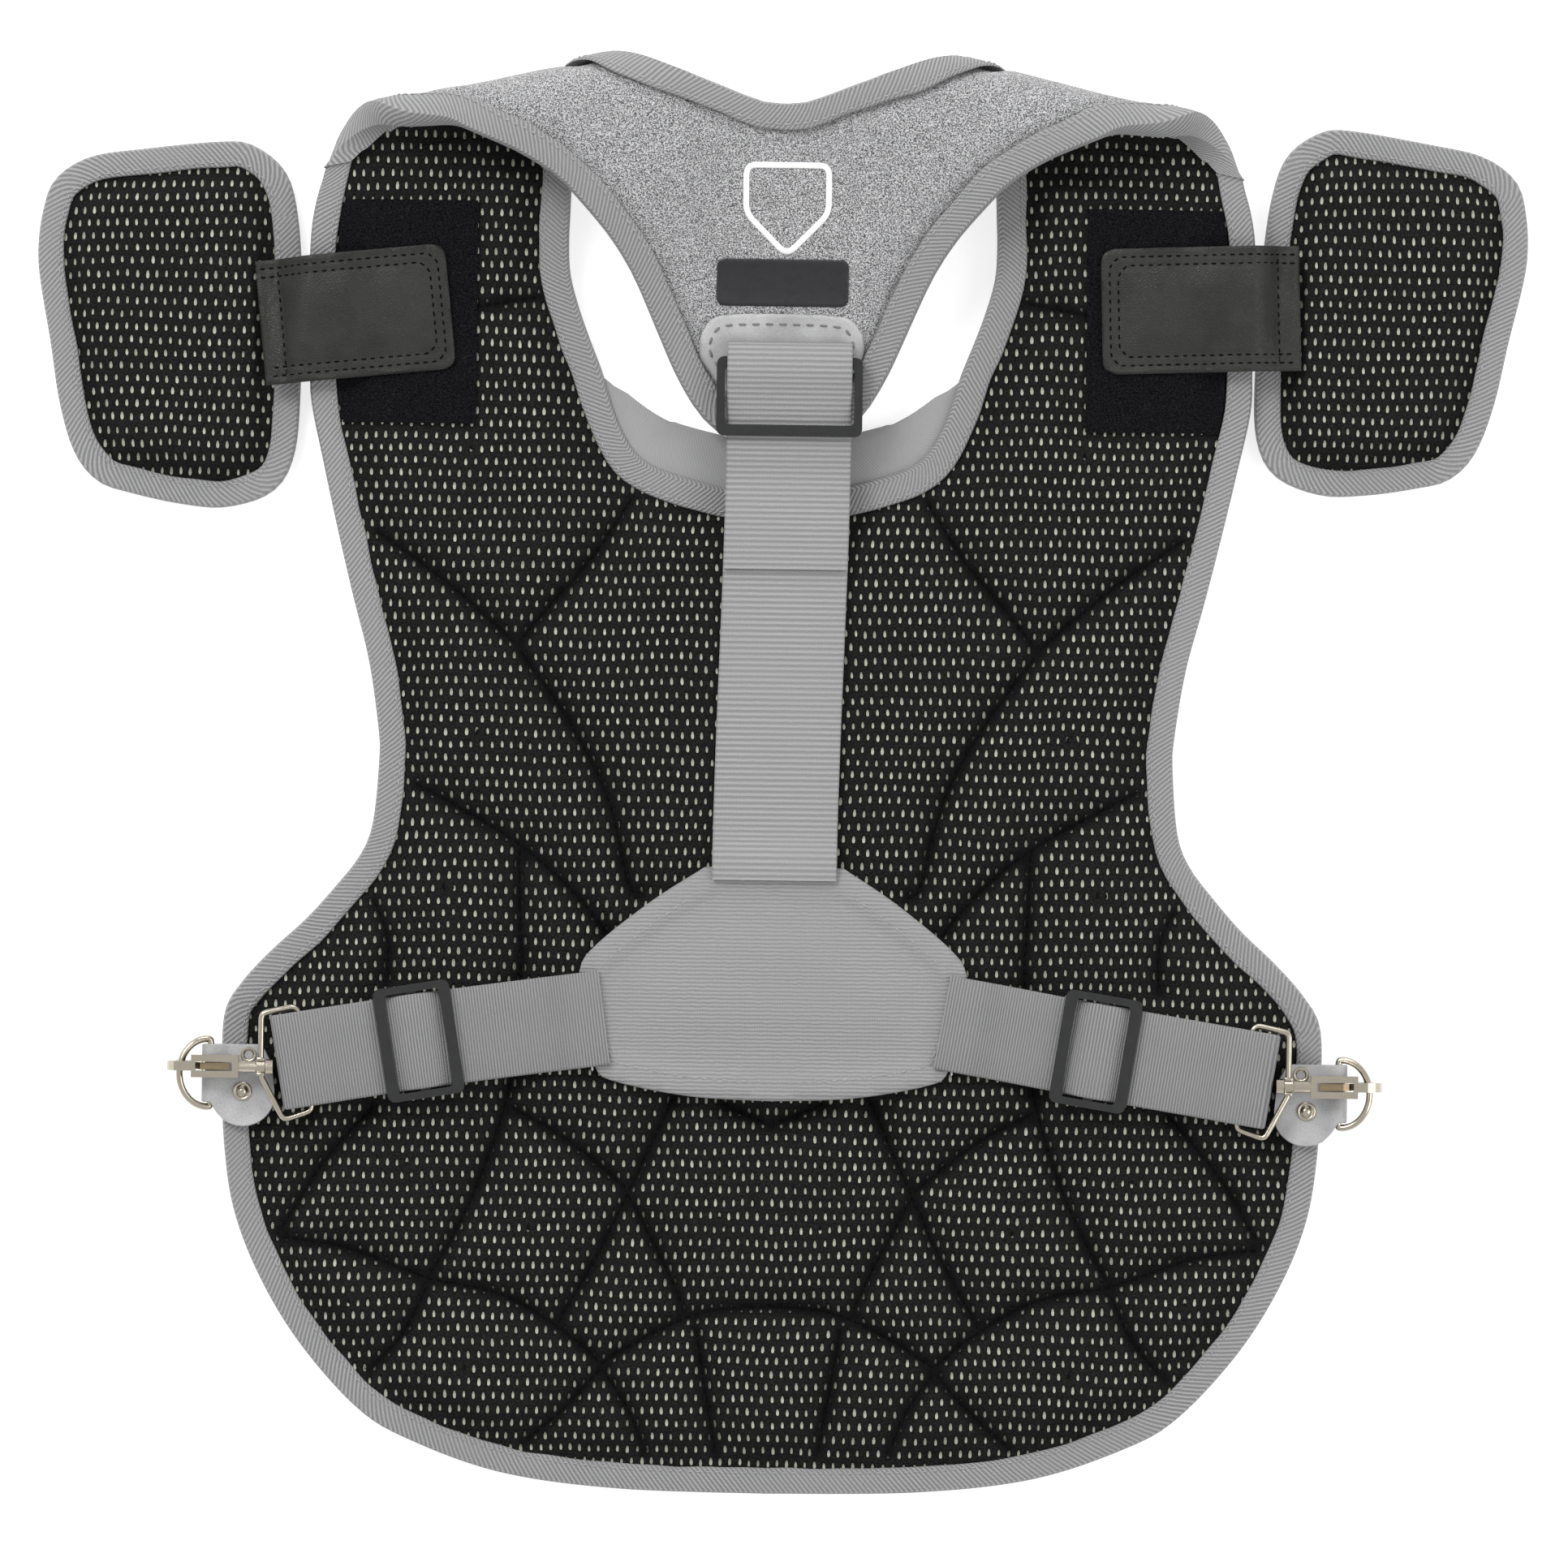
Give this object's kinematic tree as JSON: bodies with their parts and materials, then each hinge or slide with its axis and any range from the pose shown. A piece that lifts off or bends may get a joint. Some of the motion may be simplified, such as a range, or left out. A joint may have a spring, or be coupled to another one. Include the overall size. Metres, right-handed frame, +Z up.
{
  "type": "chest protector",
  "caption": "Padded catcher's chest protector lying inner face up, with shoulder caps, ribbed back straps, a folded cloth yoke and metal snap hooks.",
  "frame": {"origin": "on the floor, under the middle of the flat part of the outer cloth face it lies on", "axes": "+Z up, away from the floor and towards the inner face; +Y towards the neck; +X towards the right of the picture"},
  "size_m": [0.5981, 0.5778, 0.0514],
  "materials": {
    "cover_cloth": "woven, matt",
    "mesh_lining": "spacer mesh, matt",
    "edge_tape": "twill, matt",
    "neck_cloth": "fine ribbed, matt",
    "heather_cloth": "heather, matt",
    "grey_leather": "grained, satin",
    "black_patch": "smooth, matt",
    "dark_plastic": "satin",
    "webbing": "ribbed elastic, matt",
    "black_leather": "grained, satin",
    "black_fleece": "brushed, matt",
    "nickel": "satin nickel"
  },
  "bodies": {
    "protector": {"front_cover": "cover_cloth", "chest_pad": "mesh_lining", "body_edge_tape": "edge_tape", "neck_edge_tape": "edge_tape", "neck_band": "neck_cloth", "yoke": "heather_cloth", "yoke_neck_tape": "edge_tape", "yoke_lower_tape": "edge_tape", "yoke_patch": "grey_leather", "blank_patch": "black_patch", "tri_glide": "dark_plastic", "back_strap": "webbing", "back_plate": "webbing", "side_strap_left": "webbing", "side_strap_right": "webbing", "side_slide_left": "dark_plastic", "side_slide_right": "dark_plastic", "bail_left": "nickel", "bail_right": "nickel", "d_ring_left": "nickel", "d_ring_right": "nickel", "ring_tab_left": "grey_leather", "ring_tab_right": "grey_leather", "tab_rivet_left": "nickel", "tab_rivet_right": "nickel", "tab_eyelet_left": "nickel", "tab_eyelet_right": "nickel", "loop_patch_left": "black_fleece", "loop_patch_right": "black_fleece", "shoulder_cap_left": "mesh_lining", "shoulder_cap_right": "mesh_lining", "cap_edge_tape_left": "edge_tape", "cap_edge_tape_right": "edge_tape", "cap_strap_left": "black_leather", "cap_strap_right": "black_leather"},
    "hook_left": {"hook_left": "nickel"},
    "gate_left": {"gate_left": "nickel"},
    "hook_right": {"hook_right": "nickel"},
    "gate_right": {"gate_right": "nickel"}
  },
  "joints": [
    {"name": "hook_swivel_left", "type": "hinge", "parent": "protector", "child": "hook_left", "pos_m": [-0.20376, -0.1192, 0.0354], "axis": [1, 0, 0], "range_deg": [-20, 20]},
    {"name": "gate_pivot_left", "type": "hinge", "parent": "hook_left", "child": "gate_left", "pos_m": [-0.22657, -0.1192, 0.0354], "axis": [0, 1, 0], "range_deg": [0, 10], "stiffness_Nm_per_rad": 0.002},
    {"name": "hook_swivel_right", "type": "hinge", "parent": "protector", "child": "hook_right", "pos_m": [0.20621, -0.12142, 0.03551], "axis": [1, 0, 0], "range_deg": [-20, 20]},
    {"name": "gate_pivot_right", "type": "hinge", "parent": "hook_right", "child": "gate_right", "pos_m": [0.22901, -0.12142, 0.03551], "axis": [0, -1, 0], "range_deg": [0, 10], "stiffness_Nm_per_rad": 0.002}
  ]
}
